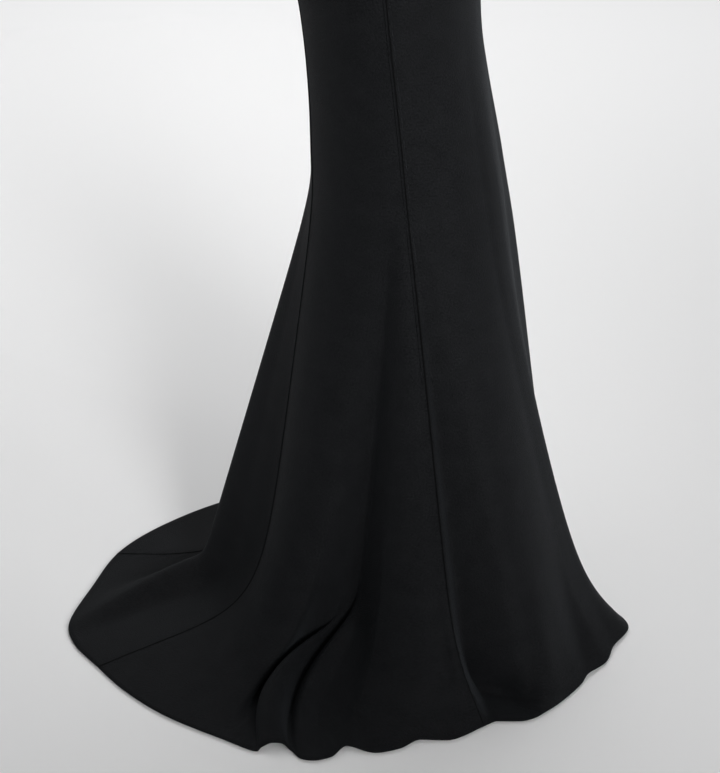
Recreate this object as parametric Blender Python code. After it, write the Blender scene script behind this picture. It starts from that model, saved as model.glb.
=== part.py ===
"""A floor-length mermaid gown of black crepe, worn on a hollow figure.

Lengths are metres and angles are degrees. +Z is up, -Y is the gown's front and -X is the
wearer's right. The origin is at the middle of the waist, where the wearer holds the gown up.
Heights in the tables are above the floor.
"""

from collections import namedtuple

import bpy
import numpy as np

# Driving dimensions
WAIST_HEIGHT = 1.170
KNEE_HEIGHT = 0.650
WALL = 0.0016
SEAM_GAP = 0.0003
SEAM_CUT = 0.5 * SEAM_GAP

# Rows down the cloth
BODY_ROWS = 12
FALL_ROWS = 13
FLOOR_ROWS = 9
LANDING = 0.085
KNEE_FADE = 0.160
TURN_LENGTH = 0.060
STEEPEST = 2.5
SLOPE_STEP = 0.010
FLOOR_BLEND = 0.0012

# One level section of the gown above the knee, as a rounded oval
Section = namedtuple("Section", "name height half_width half_depth middle_y")
SECTIONS = (
    Section("top edge", 1.400, 0.150, 0.112, -0.004),
    Section("bust", 1.345, 0.157, 0.124, -0.008),
    Section("under bust", 1.270, 0.138, 0.108, 0.002),
    Section("waist", 1.170, 0.125, 0.098, 0.012),
    Section("high hip", 1.080, 0.154, 0.112, 0.022),
    Section("hip", 0.970, 0.176, 0.120, 0.028),
    Section("thigh", 0.860, 0.168, 0.109, 0.019),
    Section("above knee", 0.750, 0.155, 0.1110, 0.0070),
    Section("knee", KNEE_HEIGHT, 0.148, 0.1185, -0.0030),
)

# One line of cloth from the knee to the hem, along a fold's crest or valley. It falls from the
# knee to its drop point, turns onto the floor within its bend, and lies by its via point to
# its hem point. knee_deg goes round from the back by the wearer's right, knee_out is how far it
# stands out there, late is how far below the knee its flare starts, and steps is the number of
# strips up to the next line.
Fold = namedtuple("Fold", "name knee_deg knee_out late bend steps drop via hem")
REST = 0.0024
FOLDS = (
    Fold("left back seam", -26, 0, 0.05, 0.04, 2,
         drop=(0.128, 0.222, 0.006), via=(0.13, 0.315, 0.004), hem=(0.138, 0.408, REST)),
    Fold("train flat", -19, 0, 0.05, 0.025, 2,
         drop=(0.104, 0.248, 0.012), via=(0.086, 0.336, 0.005), hem=(0.05, 0.433, REST)),
    Fold("train ridge", -12, 0.002, 0.04, 0.012, 2,
         drop=(0.07, 0.276, 0.04), via=(0.035, 0.34, 0.03), hem=(-0.052, 0.454, 0.003)),
    Fold("train trough", 0, 0, 0.05, 0.03, 2,
         drop=(0.018, 0.238, 0.015), via=(-0.014, 0.334, 0.006), hem=(-0.096, 0.443, REST)),
    Fold("right back seam", 13, 0, 0.04, 0.06, 3,
         drop=(-0.05, 0.192, 0.002), via=(-0.095, 0.295, 0.008), hem=(-0.157, 0.402, REST)),
    Fold("train flank", 27, 0, 0.07, 0.065, 3,
         drop=(-0.098, 0.186, 0.002), via=(-0.145, 0.275, 0.005), hem=(-0.208, 0.364, REST)),
    Fold("side back crest", 43, 0, 0.1, 0.07, 4,
         drop=(-0.134, 0.164, 0.002), via=(-0.19, 0.243, 0.004), hem=(-0.262, 0.31, REST)),
    Fold("side back flank", 59, 0, 0.1, 0.065, 3,
         drop=(-0.144, 0.126, 0.002), via=(-0.225, 0.193, 0.004), hem=(-0.317, 0.228, REST)),
    Fold("leaf shadow", 69, 0, 0.1, 0.03, 2,
         drop=(-0.132, 0.106, 0.016), via=(-0.181, 0.176, 0.003), hem=(-0.343, 0.183, REST)),
    Fold("leaf edge", 71.5, 0, 0.1, 0.02, 2,
         drop=(-0.125, 0.091, 0.034), via=(-0.221, 0.171, 0.03), hem=(-0.338, 0.177, 0.006)),
    Fold("leaf crest", 73.5, 0, 0.1, 0.02, 2,
         drop=(-0.12, 0.079, 0.048), via=(-0.222, 0.155, 0.046), hem=(-0.34, 0.163, 0.014)),
    Fold("leaf flank", 75, 0, 0.1, 0.02, 2,
         drop=(-0.118, 0.07, 0.056), via=(-0.216, 0.143, 0.036), hem=(-0.338, 0.151, 0.011)),
    Fold("leaf hollow", 76.5, 0, 0.1, 0.015, 2,
         drop=(-0.118, 0.062, 0.06), via=(-0.202, 0.133, 0.008), hem=(-0.343, 0.141, 0.004)),
    Fold("cone edge", 78, 0, 0.09, 0.02, 2,
         drop=(-0.125, 0.053, 0.074), via=(-0.23, 0.121, 0.03), hem=(-0.357, 0.13, REST)),
    Fold("cone trough", 79.5, 0, 0.07, 0.025, 2,
         drop=(-0.146, 0.045, 0.064), via=(-0.237, 0.097, 0.016), hem=(-0.362, 0.113, REST)),
    Fold("side flank", 81, 0, 0.055, 0.035, 2,
         drop=(-0.172, 0.036, 0.052), via=(-0.255, 0.074, 0.016), hem=(-0.355, 0.091, REST)),
    Fold("side lift", 82.5, 0, 0.045, 0.05, 2,
         drop=(-0.198, 0.027, 0.042), via=(-0.265, 0.051, 0.02), hem=(-0.337, 0.071, 0.007)),
    Fold("side crest", 84, 0, 0.04, 0.05, 2,
         drop=(-0.222, 0.014, 0.034), via=(-0.28, 0.03, 0.018), hem=(-0.346, 0.036, REST)),
    Fold("side hollow", 85.3, 0, 0.04, 0.05, 2,
         drop=(-0.238, -0.004, 0.03), via=(-0.286, 0.002, 0.016), hem=(-0.337, 0.005, REST)),
    Fold("side seam flank", 86.8, 0, 0.045, 0.05, 2,
         drop=(-0.25, -0.03, 0.028), via=(-0.285, -0.026, 0.014), hem=(-0.32, -0.022, 0.004)),
    Fold("side seam rise", 88, 0, 0.05, 0.045, 2,
         drop=(-0.254, -0.052, 0.03), via=(-0.281, -0.058, 0.014), hem=(-0.32, -0.054, REST)),
    Fold("right side seam", 89, 0, 0.05, 0.04, 2,
         drop=(-0.256, -0.068, 0.03), via=(-0.272, -0.087, 0.014), hem=(-0.29, -0.102, REST)),
    Fold("toe valley", 91.5, 0, 0.05, 0.02, 2,
         drop=(-0.226, -0.084, 0.03), via=(-0.221, -0.101, 0.005), hem=(-0.279, -0.12, REST)),
    Fold("toe crest", 95, 0, 0.06, 0.012, 2,
         drop=(-0.235, -0.12, 0.05), via=(-0.223, -0.127, 0.008), hem=(-0.279, -0.146, REST)),
    Fold("toe end", 99, 0, 0.06, 0.018, 2,
         drop=(-0.244, -0.156, 0.036), via=(-0.243, -0.163, 0.011), hem=(-0.271, -0.169, REST)),
    Fold("front side", 106, 0, 0.05, 0.03, 3,
         drop=(-0.228, -0.176, 0.028), via=(-0.246, -0.182, 0.014), hem=(-0.255, -0.186, REST)),
    Fold("front flank", 122, 0, 0.07, 0.04, 2,
         drop=(-0.178, -0.211, 0.028), via=(-0.192, -0.219, 0.014), hem=(-0.197, -0.233, REST)),
    Fold("front lift", 131, 0, 0.08, 0.04, 2,
         drop=(-0.138, -0.226, 0.028), via=(-0.148, -0.237, 0.014), hem=(-0.175, -0.245, 0.005)),
    Fold("front turn", 139, 0, 0.1, 0.05, 2,
         drop=(-0.105, -0.236, 0.028), via=(-0.117, -0.257, 0.013), hem=(-0.143, -0.273, REST)),
    Fold("front second lift", 146, 0.002, 0.13, 0.05, 2,
         drop=(-0.08, -0.247, 0.028), via=(-0.086, -0.27, 0.013), hem=(-0.11, -0.285, 0.005)),
    Fold("front crest", 154, 0.003, 0.16, 0.05, 3,
         drop=(-0.055, -0.256, 0.028), via=(-0.055, -0.282, 0.013), hem=(-0.057, -0.312, REST)),
    Fold("front hollow", 177, -0.002, 0.15, 0.05, 4,
         drop=(0, -0.234, 0.028), via=(0, -0.26, 0.013), hem=(0.002, -0.285, REST)),
    Fold("left front crest", 201, 0.011, 0.02, 0.05, 4,
         drop=(0.064, -0.213, 0.028), via=(0.074, -0.236, 0.013), hem=(0.085, -0.258, REST)),
    Fold("left front side", 236, 0, 0.06, 0.04, 4,
         drop=(0.185, -0.17, 0.028), via=(0.205, -0.186, 0.014), hem=(0.226, -0.2, REST)),
    Fold("left side seam", 269, 0, 0.05, 0.04, 4,
         drop=(0.262, -0.078, 0.03), via=(0.272, -0.089, 0.014), hem=(0.287, -0.102, REST)),
    Fold("left side crest", 277, 0, 0.05, 0.05, 4,
         drop=(0.25, 0.02, 0.03), via=(0.29, 0.014, 0.014), hem=(0.335, 0.01, REST)),
    Fold("left valley", 284, 0, 0.1, 0.035, 4,
         drop=(0.125, 0.055, 0.06), via=(0.225, 0.09, 0.006), hem=(0.35, 0.118, REST)),
    Fold("left back flank", 300, 0, 0.1, 0.065, 4,
         drop=(0.135, 0.118, 0.002), via=(0.225, 0.185, 0.004), hem=(0.314, 0.229, REST)),
    Fold("left back crest", 314, 0, 0.1, 0.05, 4,
         drop=(0.15, 0.168, 0.004), via=(0.195, 0.245, 0.004), hem=(0.245, 0.325, REST)),
)

# One panel of the gown, from one seam round to the next
Panel = namedtuple("Panel", "node from_seam to_seam")
PANELS = (
    Panel("center_back_panel", "left back seam", "right back seam"),
    Panel("right_side_back_panel", "right back seam", "right side seam"),
    Panel("front_panel", "right side seam", "left side seam"),
    Panel("left_side_back_panel", "left side seam", "left back seam"),
)

# The crepe's colour and finish
CREPE_COLOUR = (0.012, 0.012, 0.013, 1.0)
CREPE_ROUGHNESS = 0.85


def hermite(share, width, start, end, start_slope, end_slope):
    """The cubic between two values with the slopes given at its ends."""
    square = share * share
    cube = square * share
    return (
        (2 * cube - 3 * square + 1) * start
        + (cube - 2 * square + share) * width * start_slope
        + (3 * square - 2 * cube) * end
        + (cube - square) * width * end_slope
    )


def body_shape(heights):
    """Half width, half depth and middle of the section at each height, as a smooth curve."""
    knots = np.array([section.height for section in reversed(SECTIONS)])
    values = np.array([section[2:] for section in reversed(SECTIONS)])
    slopes = np.gradient(values, knots, axis=0)
    place = np.clip(np.searchsorted(knots, heights, side="right") - 1, 0, len(knots) - 2)
    width = (knots[place + 1] - knots[place])[:, None]
    share = (heights - knots[place])[:, None] / width
    return hermite(share, width, values[place], values[place + 1], slopes[place], slopes[place + 1])


def round_curve(knots, closing, values, at):
    """The closed curve through the values at the knots that never swings past them."""
    count = len(knots)
    after = np.roll(np.arange(count), -1)
    before = np.roll(np.arange(count), 1)
    gaps = np.diff(np.append(knots, closing))[:, None]
    rises = (values[after] - values) / gaps
    back, ahead = rises[before], rises
    back_gaps = gaps[before]
    mean = (back * gaps + ahead * back_gaps) / (gaps + back_gaps)
    steepest = STEEPEST * np.minimum(np.abs(back), np.abs(ahead))
    slopes = np.clip(mean, -steepest, steepest)
    slopes[back * ahead <= 0] = 0.0
    place = np.clip(np.searchsorted(knots, at, side="right") - 1, 0, count - 1)
    share = (at - knots[place])[:, None] / gaps[place]
    return hermite(
        share, gaps[place], values[place], values[after[place]], slopes[place], slopes[after[place]]
    )


def step_lengths(points):
    """The distance from each point of a closed run to the next one."""
    return np.linalg.norm(np.roll(points, -1, axis=0) - points, axis=1)


def fold_lines(detail=1):
    """The table's values for every column of cloth, and the column of each named fold."""
    # The lines are spaced by the mean of how far apart they lie at the floor and at the hem.
    hems = np.array([fold.hem[:2] for fold in FOLDS])
    drops = np.array([fold.drop[:2] for fold in FOLDS])
    lengths = 0.5 * (step_lengths(hems) + step_lengths(drops))
    knots = np.concatenate([[0.0], np.cumsum(lengths)[:-1]])
    closing = lengths.sum()
    ends = np.append(knots, closing)
    at = []
    columns = {}
    for index, fold in enumerate(FOLDS):
        columns[fold.name] = len(at)
        count = fold.steps * detail
        at.extend(np.linspace(ends[index], ends[index + 1], count, endpoint=False))
    turns = np.array([fold.knee_deg for fold in FOLDS])
    # The angle goes once round, so what is interpolated is how far it runs ahead of the hem.
    ahead = turns - 360.0 * knots / closing
    shapes = [(fold.knee_out, fold.late, fold.bend, *fold.drop, *fold.via, *fold.hem) for fold in FOLDS]
    values = np.column_stack([ahead, np.array(shapes)])
    at = np.array(at)
    lines = round_curve(knots, closing, values, at)
    lines[:, 0] += 360.0 * at / closing
    return lines, columns


def body_points(angles, knee_out, heights):
    """Points of the gown above the knee: rows of heights by columns of angles."""
    shape = body_shape(heights)
    half_width, half_depth, middle_y = (shape[:, [index]] for index in range(3))
    fade = np.exp(-(((heights - KNEE_HEIGHT) / KNEE_FADE) ** 2))[:, None]
    out = knee_out[None, :] * fade
    turn = np.radians(angles)[None, :]
    x = -(half_width + out) * np.sin(turn)
    y = middle_y + (half_depth + out) * np.cos(turn)
    z = np.broadcast_to(heights[:, None], x.shape)
    return np.stack([x, y, z], axis=-1)


def soft_corner(distance, size):
    """How far past a corner the distance is, turned on smoothly over the corner's size."""
    return size * np.logaddexp(0.0, distance / size)


def lead_in(distance, late):
    """Distance along the fall, held back near the knee so that the flare starts late."""
    return distance - late * (1 - np.exp(-distance / late))


def skirt_points(lines, knee, knee_slope, detail=1):
    """Points of the gown below the knee: rows by columns."""
    late, bend = lines[:, 2], lines[:, 3]
    drop, via, hem = lines[:, 4:7], lines[:, 7:10], lines[:, 10:13]
    fall = np.linalg.norm(drop - knee, axis=1)
    lie = np.linalg.norm(via - drop, axis=1) + np.linalg.norm(hem - via, axis=1)
    # The row distances run to where the soft corner has used the whole lying length.
    end = fall + bend * np.log(np.expm1(lie / bend))
    near_floor = fall - LANDING
    fall_share = np.linspace(0, 1, FALL_ROWS * detail + 1)[1:, None]
    floor_share = np.linspace(0, 1, FLOOR_ROWS * detail + 1)[1:, None]
    along = np.concatenate(
        [fall_share * near_floor, near_floor + floor_share * (end - near_floor)]
    )
    lying = soft_corner(along - fall, bend)
    falling = along - lying
    share = (lead_in(falling, late) / lead_in(fall, late))[..., None]
    turned = TURN_LENGTH * (1 - np.exp(-falling / TURN_LENGTH))[..., None]
    start = knee + turned * knee_slope
    down = (falling / fall)[..., None]
    points = start + (drop - knee - TURN_LENGTH * knee_slope) * share
    points[..., 2] = knee[:, 2] + (drop[:, 2] - knee[:, 2]) * down[..., 0]
    part = (lying / lie)[..., None]
    control = 2 * via - 0.5 * (drop + hem)
    curve = (1 - part) ** 2 * drop + 2 * part * (1 - part) * control + part**2 * hem
    points += curve - drop
    points += (hem - points[-1]) * part**2
    return points


def cloth_points(detail=1):
    """The gown's outer face as rows by columns of points, and each fold's column."""
    lines, columns = fold_lines(detail)
    angles, knee_out = lines[:, 0], lines[:, 1]
    heights = np.linspace(SECTIONS[0].height, KNEE_HEIGHT, BODY_ROWS * detail + 1)
    body = body_points(angles, knee_out, heights)
    above = body_points(angles, knee_out, np.array([KNEE_HEIGHT + SLOPE_STEP]))[0]
    knee = body[-1]
    knee_slope = (knee - above) / SLOPE_STEP
    knee_slope[:, 2] = 0.0
    skirt = skirt_points(lines, knee, knee_slope, detail)
    skirt[..., 2] = REST + soft_corner(skirt[..., 2] - REST, FLOOR_BLEND)
    points = np.concatenate([body, skirt])
    points[..., 2] -= WAIST_HEIGHT
    return points, columns


def inner_points(points):
    """The inner face: each point of the outer face moved inwards by the cloth's wall."""
    around = np.roll(points, -1, axis=1) - np.roll(points, 1, axis=1)
    down = np.gradient(points, axis=0)
    inward = np.cross(down, around)
    inward /= np.linalg.norm(inward, axis=-1, keepdims=True)
    return points + WALL * inward


def panel_columns(panel, columns, total):
    """The columns of one panel, its own seams included."""
    first = columns[panel.from_seam]
    last = columns[panel.to_seam]
    if last <= first:
        last += total
    return np.arange(first, last + 1) % total


def trimmed(points):
    """The panel's points with both seam edges cut back by half the seam's gap."""
    points = points.copy()
    for edge, inside in ((0, 1), (-1, -2)):
        across = points[:, inside] - points[:, edge]
        length = np.linalg.norm(across, axis=-1, keepdims=True)
        points[:, edge] += across / length * SEAM_CUT
    return points


def wall_faces(rows, columns):
    """Faces of a closed wall whose outer grid of points is followed by its inner grid."""
    outer = np.arange(rows * columns).reshape(rows, columns)
    inner = outer + rows * columns
    grids = [
        np.stack([outer[:-1, :-1], outer[:-1, 1:], outer[1:, 1:], outer[1:, :-1]], axis=-1),
        np.stack([inner[:-1, :-1], inner[1:, :-1], inner[1:, 1:], inner[:-1, 1:]], axis=-1),
    ]
    rim = np.concatenate([outer[0, :-1], outer[:-1, -1], outer[-1, :0:-1], outer[:0:-1, 0]])
    after = np.roll(rim, -1)
    across = rows * columns
    edge = np.stack([after, rim, rim + across, after + across], axis=-1)
    return np.concatenate([grid.reshape(-1, 4) for grid in grids] + [edge])


def crepe_material(name):
    """Black crepe as a plain rough surface."""
    material = bpy.data.materials.new(name)
    material.use_nodes = True
    shader = material.node_tree.nodes["Principled BSDF"]
    shader.inputs["Base Color"].default_value = CREPE_COLOUR
    shader.inputs["Roughness"].default_value = CREPE_ROUGHNESS
    shader.inputs["Metallic"].default_value = 0.0
    return material


def panel_object(panel, outer, inner, collection):
    """One panel as a closed wall. Its faces are lofted here, so that both sides of a seam match."""
    rows, count = outer.shape[:2]
    points = np.concatenate([outer.reshape(-1, 3), inner.reshape(-1, 3)])
    mesh = bpy.data.meshes.new(panel.node)
    mesh.from_pydata(points.tolist(), [], wall_faces(rows, count).tolist())
    mesh.materials.append(crepe_material(panel.node + "_crepe"))
    mesh.update()
    sheet = bpy.data.objects.new(panel.node, mesh)
    collection.objects.link(sheet)
    return sheet


def main():
    for old in list(bpy.data.objects):
        bpy.data.objects.remove(old, do_unlink=True)
    gown = bpy.data.collections.new("Mermaid gown")
    bpy.context.scene.collection.children.link(gown)
    outer, columns = cloth_points()
    inner = inner_points(outer)
    for panel in PANELS:
        chosen = panel_columns(panel, columns, outer.shape[1])
        panel_object(panel, trimmed(outer[:, chosen]), trimmed(inner[:, chosen]), gown)


main()
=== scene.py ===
"""The gown's finished look: a thin shell of black crepe on each panel's own form."""

import math
from collections import namedtuple

import bpy
import numpy as np
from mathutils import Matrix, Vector


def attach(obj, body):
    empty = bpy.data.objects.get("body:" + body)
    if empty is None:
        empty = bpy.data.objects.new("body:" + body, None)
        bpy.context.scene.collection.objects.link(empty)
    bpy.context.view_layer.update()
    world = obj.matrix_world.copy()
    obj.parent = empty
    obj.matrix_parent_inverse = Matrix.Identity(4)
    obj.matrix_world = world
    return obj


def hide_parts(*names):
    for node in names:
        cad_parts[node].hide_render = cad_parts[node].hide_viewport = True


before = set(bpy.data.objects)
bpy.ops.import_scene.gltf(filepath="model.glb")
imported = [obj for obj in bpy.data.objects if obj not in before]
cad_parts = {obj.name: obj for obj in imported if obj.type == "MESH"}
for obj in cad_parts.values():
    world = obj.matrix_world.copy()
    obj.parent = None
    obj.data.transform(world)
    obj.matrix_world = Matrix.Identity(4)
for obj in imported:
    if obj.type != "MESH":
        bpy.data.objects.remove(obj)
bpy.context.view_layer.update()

# The gown's driving dimensions, in metres, as its source states them
WAIST_HEIGHT = 1.170
KNEE_HEIGHT = 0.650
FLOOR_Z = -WAIST_HEIGHT

# How finely the cloth is modelled: DETAIL strips for each strip of the solids, and DETAIL rows
# for each row of the body, of the fall below the knee and of the cloth on the floor
DETAIL = 5
BODY_ROWS = 12
FALL_ROWS = 13
FLOOR_ROWS = 9

# How the form eases from one stretch to the next, in metres, and its steepest slope between lines
LANDING = 0.085
KNEE_FADE = 0.160
TURN_LENGTH = 0.060
STEEPEST = 2.5
SLOPE_STEP = 0.010
FLOOR_BLEND = 0.0012

# The cloth itself, in metres: its thickness, how high its outer face lies above the floor, the
# seams' groove and the width of the painted shade in it, the columns beside a seam, and the hem's
# stitched line
CLOTH = 0.0012
REST = 0.0024
SEAM_DIP = 0.0012
SEAM_REACH = 0.0006
PAINTED_SEAM_SHADE_REACH = 0.0008
SEAM_STEPS = (0.0, 0.0003, 0.0007, 0.0012, 0.0019, 0.0029, 0.0042)
HEM_TURN = 0.022
HEM_DIP = 0.0004
HEM_REACH = 0.0016

# The small puckers beside a seam near the hem, in metres, and the share of their long wave
PUCKER_OFFSET = 0.0065
PUCKER_REACH = 0.0042
PUCKER_LENGTH = 0.20
PUCKER_WAVE = 0.021
PUCKER_LONG_WAVE = 0.057
PUCKER_LONG_SHARE = 0.6
PUCKER_HEIGHT = 0.0009

# The photograph's camera, in metres, degrees and its frame's pixels
CAMERA_PLACE = (-2.4, 0.055, 1.5)
CAMERA_TILT = 25.78
FOCAL_PIXELS = 2016.0
FRAME_HEIGHT_PIXELS = 773
SENSOR = 36.0
CLIP_NEAR = 0.05
CLIP_FAR = 60.0

# One level section of the gown above the knee, as a rounded oval
Section = namedtuple("Section", "name height half_width half_depth middle_y")
SECTIONS = (
    Section("top edge", 1.400, 0.150, 0.112, -0.004),
    Section("bust", 1.345, 0.157, 0.124, -0.008),
    Section("under bust", 1.270, 0.138, 0.108, 0.002),
    Section("waist", 1.170, 0.125, 0.098, 0.012),
    Section("high hip", 1.080, 0.154, 0.112, 0.022),
    Section("hip", 0.970, 0.176, 0.120, 0.028),
    Section("thigh", 0.860, 0.168, 0.109, 0.019),
    Section("above knee", 0.750, 0.155, 0.1110, 0.0070),
    Section("knee", KNEE_HEIGHT, 0.148, 0.1185, -0.0030),
)

# One line of cloth from the knee to the hem, along a fold's crest or valley. It falls from the
# knee to its drop point, turns onto the floor within its bend, and lies by its via point to
# its hem point. knee_deg goes round from the back by the wearer's right, knee_out is how far it
# stands out there, late is how far below the knee its flare starts, and steps is the number of
# strips up to the next line.
Fold = namedtuple("Fold", "name knee_deg knee_out late bend steps drop via hem")
FOLDS = (
    Fold("left back seam", -26, 0, 0.05, 0.04, 2,
         drop=(0.128, 0.222, 0.006), via=(0.13, 0.315, 0.004), hem=(0.138, 0.408, REST)),
    Fold("train flat", -19, 0, 0.05, 0.025, 2,
         drop=(0.104, 0.248, 0.012), via=(0.086, 0.336, 0.005), hem=(0.05, 0.433, REST)),
    Fold("train ridge", -12, 0.002, 0.04, 0.012, 2,
         drop=(0.07, 0.276, 0.04), via=(0.035, 0.34, 0.03), hem=(-0.052, 0.454, 0.003)),
    Fold("train trough", 0, 0, 0.05, 0.03, 2,
         drop=(0.018, 0.238, 0.015), via=(-0.014, 0.334, 0.006), hem=(-0.096, 0.443, REST)),
    Fold("right back seam", 13, 0, 0.04, 0.06, 3,
         drop=(-0.05, 0.192, 0.002), via=(-0.095, 0.295, 0.008), hem=(-0.157, 0.402, REST)),
    Fold("train flank", 27, 0, 0.07, 0.065, 3,
         drop=(-0.098, 0.186, 0.002), via=(-0.145, 0.275, 0.005), hem=(-0.208, 0.364, REST)),
    Fold("side back crest", 43, 0, 0.1, 0.07, 4,
         drop=(-0.134, 0.164, 0.002), via=(-0.19, 0.243, 0.004), hem=(-0.262, 0.31, REST)),
    Fold("side back flank", 59, 0, 0.1, 0.065, 3,
         drop=(-0.144, 0.126, 0.002), via=(-0.225, 0.193, 0.004), hem=(-0.317, 0.228, REST)),
    Fold("leaf shadow", 69, 0, 0.1, 0.03, 2,
         drop=(-0.132, 0.106, 0.016), via=(-0.181, 0.176, 0.003), hem=(-0.343, 0.183, REST)),
    Fold("leaf edge", 71.5, 0, 0.1, 0.02, 2,
         drop=(-0.125, 0.091, 0.034), via=(-0.221, 0.171, 0.03), hem=(-0.338, 0.177, 0.006)),
    Fold("leaf crest", 73.5, 0, 0.1, 0.02, 2,
         drop=(-0.12, 0.079, 0.048), via=(-0.222, 0.155, 0.046), hem=(-0.34, 0.163, 0.014)),
    Fold("leaf flank", 75, 0, 0.1, 0.02, 2,
         drop=(-0.118, 0.07, 0.056), via=(-0.216, 0.143, 0.036), hem=(-0.338, 0.151, 0.011)),
    Fold("leaf hollow", 76.5, 0, 0.1, 0.015, 2,
         drop=(-0.118, 0.062, 0.06), via=(-0.202, 0.133, 0.008), hem=(-0.343, 0.141, 0.004)),
    Fold("cone edge", 78, 0, 0.09, 0.02, 2,
         drop=(-0.125, 0.053, 0.074), via=(-0.23, 0.121, 0.03), hem=(-0.357, 0.13, REST)),
    Fold("cone trough", 79.5, 0, 0.07, 0.025, 2,
         drop=(-0.146, 0.045, 0.064), via=(-0.237, 0.097, 0.016), hem=(-0.362, 0.113, REST)),
    Fold("side flank", 81, 0, 0.055, 0.035, 2,
         drop=(-0.172, 0.036, 0.052), via=(-0.255, 0.074, 0.016), hem=(-0.355, 0.091, REST)),
    Fold("side lift", 82.5, 0, 0.045, 0.05, 2,
         drop=(-0.198, 0.027, 0.042), via=(-0.265, 0.051, 0.02), hem=(-0.337, 0.071, 0.007)),
    Fold("side crest", 84, 0, 0.04, 0.05, 2,
         drop=(-0.222, 0.014, 0.034), via=(-0.28, 0.03, 0.018), hem=(-0.346, 0.036, REST)),
    Fold("side hollow", 85.3, 0, 0.04, 0.05, 2,
         drop=(-0.238, -0.004, 0.03), via=(-0.286, 0.002, 0.016), hem=(-0.337, 0.005, REST)),
    Fold("side seam flank", 86.8, 0, 0.045, 0.05, 2,
         drop=(-0.25, -0.03, 0.028), via=(-0.285, -0.026, 0.014), hem=(-0.32, -0.022, 0.004)),
    Fold("side seam rise", 88, 0, 0.05, 0.045, 2,
         drop=(-0.254, -0.052, 0.03), via=(-0.281, -0.058, 0.014), hem=(-0.32, -0.054, REST)),
    Fold("right side seam", 89, 0, 0.05, 0.04, 2,
         drop=(-0.256, -0.068, 0.03), via=(-0.272, -0.087, 0.014), hem=(-0.29, -0.102, REST)),
    Fold("toe valley", 91.5, 0, 0.05, 0.02, 2,
         drop=(-0.226, -0.084, 0.03), via=(-0.221, -0.101, 0.005), hem=(-0.279, -0.12, REST)),
    Fold("toe crest", 95, 0, 0.06, 0.012, 2,
         drop=(-0.235, -0.12, 0.05), via=(-0.223, -0.127, 0.008), hem=(-0.279, -0.146, REST)),
    Fold("toe end", 99, 0, 0.06, 0.018, 2,
         drop=(-0.244, -0.156, 0.036), via=(-0.243, -0.163, 0.011), hem=(-0.271, -0.169, REST)),
    Fold("front side", 106, 0, 0.05, 0.03, 3,
         drop=(-0.228, -0.176, 0.028), via=(-0.246, -0.182, 0.014), hem=(-0.255, -0.186, REST)),
    Fold("front flank", 122, 0, 0.07, 0.04, 2,
         drop=(-0.178, -0.211, 0.028), via=(-0.192, -0.219, 0.014), hem=(-0.197, -0.233, REST)),
    Fold("front lift", 131, 0, 0.08, 0.04, 2,
         drop=(-0.138, -0.226, 0.028), via=(-0.148, -0.237, 0.014), hem=(-0.175, -0.245, 0.005)),
    Fold("front turn", 139, 0, 0.1, 0.05, 2,
         drop=(-0.105, -0.236, 0.028), via=(-0.117, -0.257, 0.013), hem=(-0.143, -0.273, REST)),
    Fold("front second lift", 146, 0.002, 0.13, 0.05, 2,
         drop=(-0.08, -0.247, 0.028), via=(-0.086, -0.27, 0.013), hem=(-0.11, -0.285, 0.005)),
    Fold("front crest", 154, 0.003, 0.16, 0.05, 3,
         drop=(-0.055, -0.256, 0.028), via=(-0.055, -0.282, 0.013), hem=(-0.057, -0.312, REST)),
    Fold("front hollow", 177, -0.002, 0.15, 0.05, 4,
         drop=(0, -0.234, 0.028), via=(0, -0.26, 0.013), hem=(0.002, -0.285, REST)),
    Fold("left front crest", 201, 0.011, 0.02, 0.05, 4,
         drop=(0.064, -0.213, 0.028), via=(0.074, -0.236, 0.013), hem=(0.085, -0.258, REST)),
    Fold("left front side", 236, 0, 0.06, 0.04, 4,
         drop=(0.185, -0.17, 0.028), via=(0.205, -0.186, 0.014), hem=(0.226, -0.2, REST)),
    Fold("left side seam", 269, 0, 0.05, 0.04, 4,
         drop=(0.262, -0.078, 0.03), via=(0.272, -0.089, 0.014), hem=(0.287, -0.102, REST)),
    Fold("left side crest", 277, 0, 0.05, 0.05, 4,
         drop=(0.25, 0.02, 0.03), via=(0.29, 0.014, 0.014), hem=(0.335, 0.01, REST)),
    Fold("left valley", 284, 0, 0.1, 0.035, 4,
         drop=(0.125, 0.055, 0.06), via=(0.225, 0.09, 0.006), hem=(0.35, 0.118, REST)),
    Fold("left back flank", 300, 0, 0.1, 0.065, 4,
         drop=(0.135, 0.118, 0.002), via=(0.225, 0.185, 0.004), hem=(0.314, 0.229, REST)),
    Fold("left back crest", 314, 0, 0.1, 0.05, 4,
         drop=(0.15, 0.168, 0.004), via=(0.195, 0.245, 0.004), hem=(0.245, 0.325, REST)),
)

# Crepe's darkest and lightest tone, as linear colours, and where in the grain each begins
CREPE_DARK = (0.0018, 0.0020, 0.0024, 1.0)
CREPE_LIGHT = (0.0084, 0.0088, 0.0097, 1.0)
DARK_FROM = 0.42
LIGHT_FROM = 0.88

# How crepe gives light back
CREPE_ROUGHNESS = 0.76
CREPE_SPECULAR = 0.06
SHEEN_WEIGHT = 0.03
SHEEN_ROUGHNESS = 0.45
SHEEN_TINT = (0.82, 0.90, 1.0, 1.0)

# The crepe's textures: waves to the metre, shares beside the pebbles, and the grain's relief
PEBBLE_SCALE = 430.0
THREAD_SCALE = 1100.0
CLOUD_SCALE = 34.0
TEXTURE_ROUGHNESS = 0.6
THREAD_SHARE = 0.5
CLOUD_SHARE = 0.30
GRAIN_STRENGTH = 0.8
GRAIN_HEIGHT = 0.0012

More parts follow.
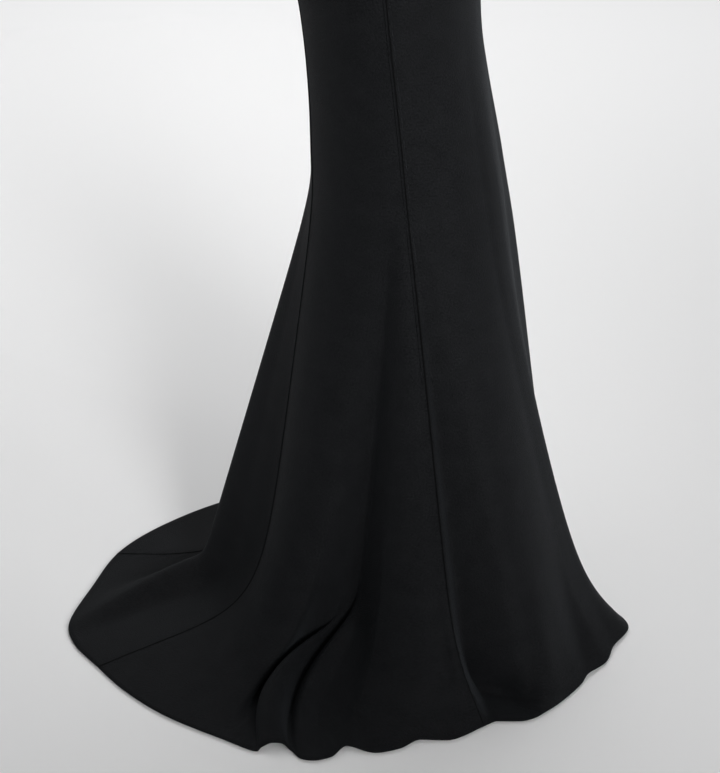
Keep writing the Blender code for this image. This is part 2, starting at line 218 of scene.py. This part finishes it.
# The studio: its floor, its even surround, and its soft boxes with places and sizes in metres
FLOOR_SIZE = 40.0
FLOOR_COLOUR = (0.80, 0.80, 0.805, 1.0)
FLOOR_ROUGHNESS = 0.9
FLOOR_SPECULAR = 0.1
SURROUND_COLOUR = (1.0, 1.0, 1.0, 1.0)
SURROUND_STRENGTH = 0.35
SoftBox = namedtuple("SoftBox", "name place target width height spread_deg watts")
LIGHTS = (
    SoftBox("right_key", (-2.2, -2.2, 0.7), (0.0, 0.0, -0.4), 1.2, 1.2, 36.0, 1.3),
    SoftBox("camera_key", (-3.0, -1.1, 0.6), (0.0, -0.05, -0.5), 1.2, 1.2, 34.0, 6.8),
    SoftBox("left_low", (-2.6, 1.8, -0.2), (0.0, 0.0, -0.7), 1.2, 1.2, 180.0, 2.0),
    SoftBox("back_high", (2.4, 0.0, 2.8), (0.6, 0.0, -1.17), 2.0, 3.0, 180.0, 30.0),
    SoftBox("far_floor", (3.2, 0.0, 1.6), (3.2, 0.0, -1.17), 3.0, 5.0, 180.0, 72.0),
)

# One panel of the gown: its piece, the solid that it stands for, the seams it runs between, and
# the size and area of its flat cut
Panel = namedtuple("Panel", "piece node from_seam to_seam flat area")
PANELS = (
    Panel("center_back_cloth", "center_back_panel",
          "left back seam", "right back seam", (0.34, 1.66), 0.23),
    Panel("right_side_back_cloth", "right_side_back_panel",
          "right back seam", "right side seam", (0.66, 1.60), 0.41),
    Panel("front_cloth", "front_panel",
          "right side seam", "left side seam", (0.88, 1.46), 0.71),
    Panel("left_side_back_cloth", "left_side_back_panel",
          "left side seam", "left back seam", (0.62, 1.60), 0.34),
)


def hermite(share, width, start, end, start_slope, end_slope):
    """The cubic between two values with the slopes given at its ends."""
    square = share * share
    cube = square * share
    return (
        (2 * cube - 3 * square + 1) * start
        + (cube - 2 * square + share) * width * start_slope
        + (3 * square - 2 * cube) * end
        + (cube - square) * width * end_slope
    )


def body_shape(heights):
    """Half width, half depth and middle of the section at each height, as a smooth curve."""
    knots = np.array([section.height for section in reversed(SECTIONS)])
    values = np.array([section[2:] for section in reversed(SECTIONS)])
    slopes = np.gradient(values, knots, axis=0)
    place = np.clip(np.searchsorted(knots, heights, side="right") - 1, 0, len(knots) - 2)
    width = (knots[place + 1] - knots[place])[:, None]
    share = (heights - knots[place])[:, None] / width
    return hermite(share, width, values[place], values[place + 1], slopes[place], slopes[place + 1])


def round_curve(knots, closing, values, at):
    """The closed curve through the values at the knots that never swings past them."""
    count = len(knots)
    after = np.roll(np.arange(count), -1)
    before = np.roll(np.arange(count), 1)
    gaps = np.diff(np.append(knots, closing))[:, None]
    rises = (values[after] - values) / gaps
    back, ahead = rises[before], rises
    back_gaps = gaps[before]
    mean = (back * gaps + ahead * back_gaps) / (gaps + back_gaps)
    steepest = STEEPEST * np.minimum(np.abs(back), np.abs(ahead))
    slopes = np.clip(mean, -steepest, steepest)
    slopes[back * ahead <= 0] = 0.0
    place = np.clip(np.searchsorted(knots, at, side="right") - 1, 0, count - 1)
    share = (at - knots[place])[:, None] / gaps[place]
    return hermite(
        share, gaps[place], values[place], values[after[place]], slopes[place], slopes[after[place]]
    )


def step_lengths(points):
    """The distance from each point of a closed run to the next one."""
    return np.linalg.norm(np.roll(points, -1, axis=0) - points, axis=1)


def fold_lines(detail=1):
    """The table's values for every column of cloth, and the column of each named fold."""
    # The lines are spaced by the mean of how far apart they lie at the floor and at the hem.
    hems = np.array([fold.hem[:2] for fold in FOLDS])
    drops = np.array([fold.drop[:2] for fold in FOLDS])
    lengths = 0.5 * (step_lengths(hems) + step_lengths(drops))
    knots = np.concatenate([[0.0], np.cumsum(lengths)[:-1]])
    closing = lengths.sum()
    ends = np.append(knots, closing)
    at = []
    columns = {}
    for index, fold in enumerate(FOLDS):
        columns[fold.name] = len(at)
        count = fold.steps * detail
        at.extend(np.linspace(ends[index], ends[index + 1], count, endpoint=False))
    turns = np.array([fold.knee_deg for fold in FOLDS])
    # The angle goes once round, so what is interpolated is how far it runs ahead of the hem.
    ahead = turns - 360.0 * knots / closing
    shapes = [(fold.knee_out, fold.late, fold.bend, *fold.drop, *fold.via, *fold.hem) for fold in FOLDS]
    values = np.column_stack([ahead, np.array(shapes)])
    at = np.array(at)
    lines = round_curve(knots, closing, values, at)
    lines[:, 0] += 360.0 * at / closing
    return lines, columns


def body_points(angles, knee_out, heights):
    """Points of the gown above the knee: rows of heights by columns of angles."""
    shape = body_shape(heights)
    half_width, half_depth, middle_y = (shape[:, [index]] for index in range(3))
    fade = np.exp(-(((heights - KNEE_HEIGHT) / KNEE_FADE) ** 2))[:, None]
    out = knee_out[None, :] * fade
    turn = np.radians(angles)[None, :]
    x = -(half_width + out) * np.sin(turn)
    y = middle_y + (half_depth + out) * np.cos(turn)
    z = np.broadcast_to(heights[:, None], x.shape)
    return np.stack([x, y, z], axis=-1)


def soft_corner(distance, size):
    """How far past a corner the distance is, turned on smoothly over the corner's size."""
    return size * np.logaddexp(0.0, distance / size)


def lead_in(distance, late):
    """Distance along the fall, held back near the knee so that the flare starts late."""
    return distance - late * (1 - np.exp(-distance / late))


def skirt_points(lines, knee, knee_slope, detail=1):
    """Points of the gown below the knee: rows by columns."""
    late, bend = lines[:, 2], lines[:, 3]
    drop, via, hem = lines[:, 4:7], lines[:, 7:10], lines[:, 10:13]
    fall = np.linalg.norm(drop - knee, axis=1)
    lie = np.linalg.norm(via - drop, axis=1) + np.linalg.norm(hem - via, axis=1)
    # The row distances run to where the soft corner has used the whole lying length.
    end = fall + bend * np.log(np.expm1(lie / bend))
    near_floor = fall - LANDING
    fall_share = np.linspace(0, 1, FALL_ROWS * detail + 1)[1:, None]
    floor_share = np.linspace(0, 1, FLOOR_ROWS * detail + 1)[1:, None]
    along = np.concatenate(
        [fall_share * near_floor, near_floor + floor_share * (end - near_floor)]
    )
    lying = soft_corner(along - fall, bend)
    falling = along - lying
    share = (lead_in(falling, late) / lead_in(fall, late))[..., None]
    turned = TURN_LENGTH * (1 - np.exp(-falling / TURN_LENGTH))[..., None]
    start = knee + turned * knee_slope
    down = (falling / fall)[..., None]
    points = start + (drop - knee - TURN_LENGTH * knee_slope) * share
    points[..., 2] = knee[:, 2] + (drop[:, 2] - knee[:, 2]) * down[..., 0]
    part = (lying / lie)[..., None]
    control = 2 * via - 0.5 * (drop + hem)
    curve = (1 - part) ** 2 * drop + 2 * part * (1 - part) * control + part**2 * hem
    points += curve - drop
    points += (hem - points[-1]) * part**2
    return points


def cloth_points(detail=1):
    """The gown's outer face as rows by columns of points, and each fold's column."""
    lines, columns = fold_lines(detail)
    angles, knee_out = lines[:, 0], lines[:, 1]
    heights = np.linspace(SECTIONS[0].height, KNEE_HEIGHT, BODY_ROWS * detail + 1)
    body = body_points(angles, knee_out, heights)
    above = body_points(angles, knee_out, np.array([KNEE_HEIGHT + SLOPE_STEP]))[0]
    knee = body[-1]
    knee_slope = (knee - above) / SLOPE_STEP
    knee_slope[:, 2] = 0.0
    skirt = skirt_points(lines, knee, knee_slope, detail)
    skirt[..., 2] = REST + soft_corner(skirt[..., 2] - REST, FLOOR_BLEND)
    points = np.concatenate([body, skirt])
    points[..., 2] -= WAIST_HEIGHT
    return points, columns


def across_metres(points):
    """How far each point lies round its row from the first column."""
    steps = np.linalg.norm(np.diff(points, axis=1), axis=-1)
    start = np.zeros((points.shape[0], 1))
    return np.concatenate([start, np.cumsum(steps, axis=1)], axis=1)


def down_metres(points):
    """How far each point lies down its column from the top edge."""
    steps = np.linalg.norm(np.diff(points, axis=0), axis=-1)
    start = np.zeros((1, points.shape[1]))
    return np.concatenate([start, np.cumsum(steps, axis=0)], axis=0)


def outward_normals(points):
    """Unit normals of the whole gown's outer face."""
    around = np.roll(points, -1, axis=1) - np.roll(points, 1, axis=1)
    down = np.gradient(points, axis=0)
    normals = np.cross(around, down)
    return normals / np.linalg.norm(normals, axis=-1, keepdims=True)


def seam_places(across):
    """Where the columns of one row lie: the even ones, drawn close together beside both seams."""
    near = np.array(SEAM_STEPS)
    count = len(near)
    reach = across[count]
    share = across[1 : count + 1] / reach
    first = near[-1] + (reach - near[-1]) * share
    start = np.concatenate([near, first])
    length = across[-1]
    reach = length - across[-1 - count]
    share = (length - across[-1 - count : -1]) / reach
    last = near[-1] + (reach - near[-1]) * share
    end = length - np.concatenate([last, near[::-1]])
    return np.concatenate([start, across[count + 1 : -1 - count], end])


def finer_seams(points, values):
    """The points and values of every row, moved to the columns that run close beside the seams."""
    across = across_metres(points)
    both = np.concatenate([points, values], axis=-1)
    rows = []
    for row, place in zip(both, across):
        wanted = seam_places(place)
        moved = [np.interp(wanted, place, column) for column in row.T]
        rows.append(np.stack(moved, axis=-1))
    finer = np.array(rows)
    return finer[..., :3], finer[..., 3:]


def seam_relief(across, down):
    """Relief beside both seams, outward positive: the sewn groove and the puckers near the hem."""
    relief = np.zeros(across.shape)
    to_hem = down[-1] - down
    low = np.clip(1 - to_hem / PUCKER_LENGTH, 0, 1)
    waves = np.sin(2 * math.pi * to_hem / PUCKER_WAVE)
    waves += PUCKER_LONG_SHARE * np.sin(2 * math.pi * to_hem / PUCKER_LONG_WAVE)
    for edge in (across, across[:, -1:] - across):
        relief -= SEAM_DIP * np.exp(-edge / SEAM_REACH)
        swell = np.exp(-(((edge - PUCKER_OFFSET) / PUCKER_REACH) ** 2))
        relief += PUCKER_HEIGHT * swell * low * waves
    return relief


def painted_seam_shade_factor(across):
    """Painted shade in the two seams' grooves, as a factor on the cloth's colour: none of its colour in
    the grooves, all of it beside them.
    """
    edge = np.minimum(across, across[:, -1:] - across)
    return 1 - np.exp(-((edge / PAINTED_SEAM_SHADE_REACH) ** 2))


def hem_relief(down):
    """The shallow groove of the turned hem's stitched line."""
    to_hem = down[-1] - down
    line = np.exp(-(((to_hem - HEM_TURN) / HEM_REACH) ** 2))
    return -HEM_DIP * line


def panel_columns(panel, columns, total):
    """The columns of one panel, its own seams included."""
    first = columns[panel.from_seam]
    last = columns[panel.to_seam]
    if last <= first:
        last += total
    return np.arange(first, last + 1) % total


def wall_faces(rows, columns):
    """Faces of a closed wall whose outer grid of points is followed by its inner grid."""
    outer = np.arange(rows * columns).reshape(rows, columns)
    inner = outer + rows * columns
    grids = [
        np.stack([outer[:-1, :-1], outer[:-1, 1:], outer[1:, 1:], outer[1:, :-1]], axis=-1),
        np.stack([inner[:-1, :-1], inner[1:, :-1], inner[1:, 1:], inner[:-1, 1:]], axis=-1),
    ]
    rim = np.concatenate([outer[0, :-1], outer[:-1, -1], outer[-1, :0:-1], outer[:0:-1, 0]])
    after = np.roll(rim, -1)
    across = rows * columns
    edge = np.stack([after, rim, rim + across, after + across], axis=-1)
    return np.concatenate([grid.reshape(-1, 4) for grid in grids] + [edge])


def add_noise(nodes, links, place, scale, detail):
    """A noise texture laid on the cloth by its map in metres."""
    noise = nodes.new("ShaderNodeTexNoise")
    noise.inputs["Scale"].default_value = scale
    noise.inputs["Detail"].default_value = detail
    noise.inputs["Roughness"].default_value = TEXTURE_ROUGHNESS
    links.new(place.outputs["UV"], noise.inputs["Vector"])
    return noise


def crepe_material():
    """Black crepe: a fine pebbled grain, faint cloudiness, a soft sheen, and painted shade that darkens
    the colour in the seam grooves.
    """
    material = bpy.data.materials.new("black_crepe")
    material.use_nodes = True
    nodes = material.node_tree.nodes
    links = material.node_tree.links
    shader = nodes["Principled BSDF"]
    shader.inputs["Roughness"].default_value = CREPE_ROUGHNESS
    shader.inputs["Specular IOR Level"].default_value = CREPE_SPECULAR
    shader.inputs["Sheen Weight"].default_value = SHEEN_WEIGHT
    shader.inputs["Sheen Roughness"].default_value = SHEEN_ROUGHNESS
    shader.inputs["Sheen Tint"].default_value = SHEEN_TINT
    place = nodes.new("ShaderNodeUVMap")
    place.uv_map = "cloth_metres"
    pebbles = add_noise(nodes, links, place, PEBBLE_SCALE, 2.0)
    threads = add_noise(nodes, links, place, THREAD_SCALE, 1.0)
    clouds = add_noise(nodes, links, place, CLOUD_SCALE, 3.0)
    height = nodes.new("ShaderNodeMath")
    height.operation = "MULTIPLY_ADD"
    links.new(threads.outputs["Fac"], height.inputs[0])
    height.inputs[1].default_value = THREAD_SHARE
    links.new(pebbles.outputs["Fac"], height.inputs[2])
    bump = nodes.new("ShaderNodeBump")
    bump.inputs["Strength"].default_value = GRAIN_STRENGTH
    bump.inputs["Distance"].default_value = GRAIN_HEIGHT
    links.new(height.outputs["Value"], bump.inputs["Height"])
    links.new(bump.outputs["Normal"], shader.inputs["Normal"])
    mixed = nodes.new("ShaderNodeMath")
    mixed.operation = "MULTIPLY_ADD"
    links.new(clouds.outputs["Fac"], mixed.inputs[0])
    mixed.inputs[1].default_value = CLOUD_SHARE
    links.new(pebbles.outputs["Fac"], mixed.inputs[2])
    tones = nodes.new("ShaderNodeValToRGB")
    tones.color_ramp.elements[0].position = DARK_FROM
    tones.color_ramp.elements[0].color = CREPE_DARK
    tones.color_ramp.elements[1].position = LIGHT_FROM
    tones.color_ramp.elements[1].color = CREPE_LIGHT
    links.new(mixed.outputs["Value"], tones.inputs["Fac"])
    # Painted shade in the seam grooves: the colour is scaled toward black there, standing in for the
    # shadow of a groove too narrow to model
    seams = nodes.new("ShaderNodeAttribute")
    seams.attribute_name = "painted_seam_shade_factor"
    shaded = nodes.new("ShaderNodeVectorMath")
    shaded.operation = "SCALE"
    links.new(tones.outputs["Color"], shaded.inputs[0])
    links.new(seams.outputs["Fac"], shaded.inputs["Scale"])
    links.new(shaded.outputs["Vector"], shader.inputs["Base Color"])
    return material


def panel_piece(panel, points, normals, material):
    """One panel as a closed thin shell with its seams' relief, and a map of the cloth in metres."""
    points, normals = finer_seams(points, normals)
    across = across_metres(points)
    down = down_metres(points)
    relief = seam_relief(across, down) + hem_relief(down)
    outer = points + relief[..., None] * normals
    inner = points + (relief - CLOTH)[..., None] * normals
    rows, count = outer.shape[:2]
    mesh = bpy.data.meshes.new(panel.piece)
    both = np.concatenate([outer.reshape(-1, 3), inner.reshape(-1, 3)])
    mesh.from_pydata(both.tolist(), [], wall_faces(rows, count).tolist())
    mesh.materials.append(material)
    mesh.polygons.foreach_set("use_smooth", [True] * len(mesh.polygons))
    mapped = np.stack([across, -down], axis=-1).reshape(-1, 2)
    mapped = np.concatenate([mapped, mapped])
    layer = mesh.uv_layers.new(name="cloth_metres")
    corners = np.empty(len(mesh.loops), np.int32)
    mesh.loops.foreach_get("vertex_index", corners)
    layer.data.foreach_set("uv", mapped[corners].ravel())
    # The seams' painted shade, as a factor on the colour, for the outer and the inner face
    light = np.tile(painted_seam_shade_factor(across).ravel(), 2)
    mesh.attributes.new("painted_seam_shade_factor", "FLOAT", "POINT").data.foreach_set("value", light)
    mesh.update()
    piece = bpy.data.objects.new(panel.piece, mesh)
    bpy.context.scene.collection.objects.link(piece)
    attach(piece, "root")
    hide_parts(panel.node)
    return piece


def add_floor():
    """A wide pale studio floor."""
    bpy.ops.mesh.primitive_plane_add(size=FLOOR_SIZE, location=(0, 0, FLOOR_Z))
    floor = bpy.context.object
    floor.name = "studio_floor"
    material = bpy.data.materials.new("pale_floor")
    material.use_nodes = True
    shader = material.node_tree.nodes["Principled BSDF"]
    shader.inputs["Base Color"].default_value = FLOOR_COLOUR
    shader.inputs["Roughness"].default_value = FLOOR_ROUGHNESS
    shader.inputs["Specular IOR Level"].default_value = FLOOR_SPECULAR
    floor.data.materials.append(material)


def aim(thing, target):
    """Turns a light or camera to look at a point."""
    direction = Vector(target) - thing.location
    thing.rotation_euler = direction.to_track_quat("-Z", "Y").to_euler()


def add_lights():
    """Soft boxes as the table gives them, and a pale even surround."""
    for soft in LIGHTS:
        data = bpy.data.lights.new(soft.name, "AREA")
        data.shape = "RECTANGLE"
        data.size = soft.width
        data.size_y = soft.height
        data.spread = math.radians(soft.spread_deg)
        data.energy = soft.watts
        light = bpy.data.objects.new(soft.name, data)
        light.location = soft.place
        bpy.context.scene.collection.objects.link(light)
        aim(light, soft.target)
    world = bpy.data.worlds.new("surround")
    bpy.context.scene.world = world
    world.use_nodes = True
    background = world.node_tree.nodes["Background"]
    background.inputs["Color"].default_value = SURROUND_COLOUR
    background.inputs["Strength"].default_value = SURROUND_STRENGTH


def add_camera():
    """The photograph's camera: level, looking at the wearer's right side and down."""
    data = bpy.data.cameras.new("photo_camera")
    data.sensor_fit = "AUTO"
    data.sensor_width = SENSOR
    data.lens = FOCAL_PIXELS * SENSOR / FRAME_HEIGHT_PIXELS
    data.clip_start = CLIP_NEAR
    data.clip_end = CLIP_FAR
    camera = bpy.data.objects.new("photo_camera", data)
    camera.location = (CAMERA_PLACE[0], CAMERA_PLACE[1], CAMERA_PLACE[2] + FLOOR_Z)
    camera.rotation_euler = (math.radians(90 - CAMERA_TILT), 0, math.radians(-90))
    bpy.context.scene.collection.objects.link(camera)
    bpy.context.scene.camera = camera


def main():
    scene = bpy.context.scene
    scene.view_settings.view_transform = "Standard"
    add_camera()
    add_lights()
    add_floor()
    points, columns = cloth_points(DETAIL)
    normals = outward_normals(points)
    material = crepe_material()
    for panel in PANELS:
        chosen = panel_columns(panel, columns, points.shape[1])
        panel_piece(panel, points[:, chosen], normals[:, chosen], material)


main()
